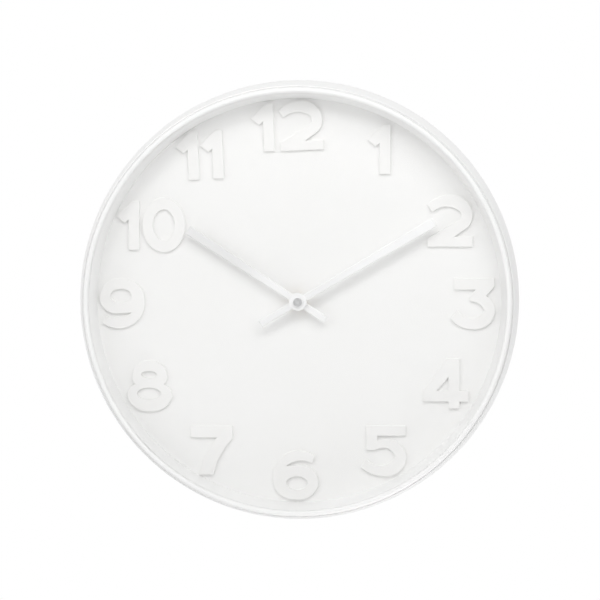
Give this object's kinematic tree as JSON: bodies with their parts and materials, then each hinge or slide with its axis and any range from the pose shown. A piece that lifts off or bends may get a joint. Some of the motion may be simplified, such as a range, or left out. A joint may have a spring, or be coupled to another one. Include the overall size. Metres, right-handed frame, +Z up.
{
  "type": "wall clock",
  "caption": "Round white wall clock with a flared metal case, raised white numerals, two tapering bar hands and a battery movement that drives and sets them.",
  "frame": {"origin": "on the axis of the hands, in the plane of the wall that the rear cover rests against", "axes": "+Y into the wall, the dial faces -Y, +Z up through the numeral 12, +X to the right seen from the front"},
  "size_m": [0.375, 0.048, 0.375],
  "materials": {
    "case_paint": "satin white paint",
    "lens_glass": "clear polished",
    "spacer_plastic": "moulded white",
    "dial_paint": "matt white paint on sheet",
    "numeral_plastic": "white cut sheet",
    "hand_paint": "matt white paint on sheet",
    "nut_metal": "turned",
    "cover_plastic": "fine moulded grain",
    "zinc_steel": "zinc plated",
    "bush_brass": "turned",
    "washer_rubber": "matt",
    "movement_plastic": "moulded black",
    "wheel_plastic": "moulded natural",
    "plate_plastic": "moulded grey",
    "rotor_magnet": "sintered",
    "soft_iron": "stamped",
    "coil_copper": "enamelled wire",
    "board_resin": "solder mask",
    "crystal_can": "drawn can",
    "battery_wrap": "plain wrap",
    "contact_steel": "nickel plated"
  },
  "bodies": {
    "clock_case": {"case_drum": "case_paint", "bezel": "case_paint", "lens": "lens_glass", "spacer_ring": "spacer_plastic", "dial": "dial_paint", "numeral_1": "numeral_plastic", "numeral_2": "numeral_plastic", "numeral_3": "numeral_plastic", "numeral_4": "numeral_plastic", "numeral_5": "numeral_plastic", "numeral_6": "numeral_plastic", "numeral_7": "numeral_plastic", "numeral_8": "numeral_plastic", "numeral_9": "numeral_plastic", "numeral_10_one": "numeral_plastic", "numeral_10_zero": "numeral_plastic", "numeral_11_left": "numeral_plastic", "numeral_11_right": "numeral_plastic", "numeral_12_one": "numeral_plastic", "numeral_12_two": "numeral_plastic", "rear_cover": "cover_plastic", "cover_screws": "zinc_steel", "hanger_plate": "zinc_steel", "hanger_rivets": "zinc_steel", "fixing_washer": "zinc_steel", "centre_bush": "bush_brass", "fixing_nut": "bush_brass", "rubber_washer": "washer_rubber", "movement_case": "movement_plastic", "movement_cover": "movement_plastic", "train_plate": "plate_plastic", "coil_bobbin": "plate_plastic", "stator": "soft_iron", "coil_core": "soft_iron", "coil_winding": "coil_copper", "circuit_board": "board_resin", "quartz_crystal": "crystal_can", "battery": "battery_wrap", "contact_positive": "contact_steel", "contact_negative": "contact_steel"},
    "minute_hand": {"minute_hand": "hand_paint", "hand_nut": "nut_metal", "minute_arbor": "bush_brass"},
    "hour_hand": {"hour_hand": "hand_paint", "hour_wheel": "wheel_plastic"},
    "motion_wheel": {"motion_wheel": "wheel_plastic"},
    "setting_knob": {"setting_knob": "movement_plastic", "setting_stem": "wheel_plastic"},
    "second_wheel": {"second_wheel": "wheel_plastic"},
    "third_wheel": {"third_wheel": "wheel_plastic"},
    "centre_wheel": {"centre_wheel": "wheel_plastic"},
    "intermediate_wheel": {"intermediate_wheel": "wheel_plastic"},
    "rotor": {"rotor": "rotor_magnet"}
  },
  "joints": [
    {"name": "minute_hand_turn", "type": "hinge", "parent": "clock_case", "child": "minute_hand", "pos_m": [0, -0.033, 0], "axis": [0, 1, 0], "continuous": true},
    {"name": "hour_hand_turn", "type": "hinge", "parent": "clock_case", "child": "hour_hand", "pos_m": [0, -0.029, 0], "axis": [0, 1, 0], "continuous": true},
    {"name": "motion_wheel_turn", "type": "hinge", "parent": "clock_case", "child": "motion_wheel", "pos_m": [-0.00831, -0.017, 0.0048], "axis": [0, 1, 0], "continuous": true},
    {"name": "setting_knob_turn", "type": "hinge", "parent": "clock_case", "child": "setting_knob", "pos_m": [-0.01663, -0.003, 0.0096], "axis": [0, 1, 0], "continuous": true},
    {"name": "second_wheel_turn", "type": "hinge", "parent": "clock_case", "child": "second_wheel", "pos_m": [0, -0.01, 0], "axis": [0, 1, 0], "continuous": true},
    {"name": "third_wheel_turn", "type": "hinge", "parent": "clock_case", "child": "third_wheel", "pos_m": [-0.01015, -0.012, -0.00369], "axis": [0, 1, 0], "continuous": true},
    {"name": "centre_wheel_turn", "type": "hinge", "parent": "clock_case", "child": "centre_wheel", "pos_m": [0, -0.0135, 0], "axis": [0, 1, 0], "continuous": true},
    {"name": "intermediate_wheel_turn", "type": "hinge", "parent": "clock_case", "child": "intermediate_wheel", "pos_m": [0.0112, -0.009, 0], "axis": [0, 1, 0], "continuous": true},
    {"name": "rotor_turn", "type": "hinge", "parent": "clock_case", "child": "rotor", "pos_m": [0.01337, -0.012, 0.00811], "axis": [0, 1, 0], "continuous": true}
  ],
  "couplings": [
    {"joint": "hour_hand_turn", "follows": "minute_hand_turn", "ratio": 0.083333},
    {"joint": "motion_wheel_turn", "follows": "minute_hand_turn", "ratio": -0.33333},
    {"joint": "setting_knob_turn", "follows": "minute_hand_turn", "ratio": 1},
    {"joint": "third_wheel_turn", "follows": "second_wheel_turn", "ratio": -0.125},
    {"joint": "centre_wheel_turn", "follows": "second_wheel_turn", "ratio": 0.016667},
    {"joint": "intermediate_wheel_turn", "follows": "second_wheel_turn", "ratio": -5},
    {"joint": "rotor_turn", "follows": "second_wheel_turn", "ratio": 30}
  ]
}
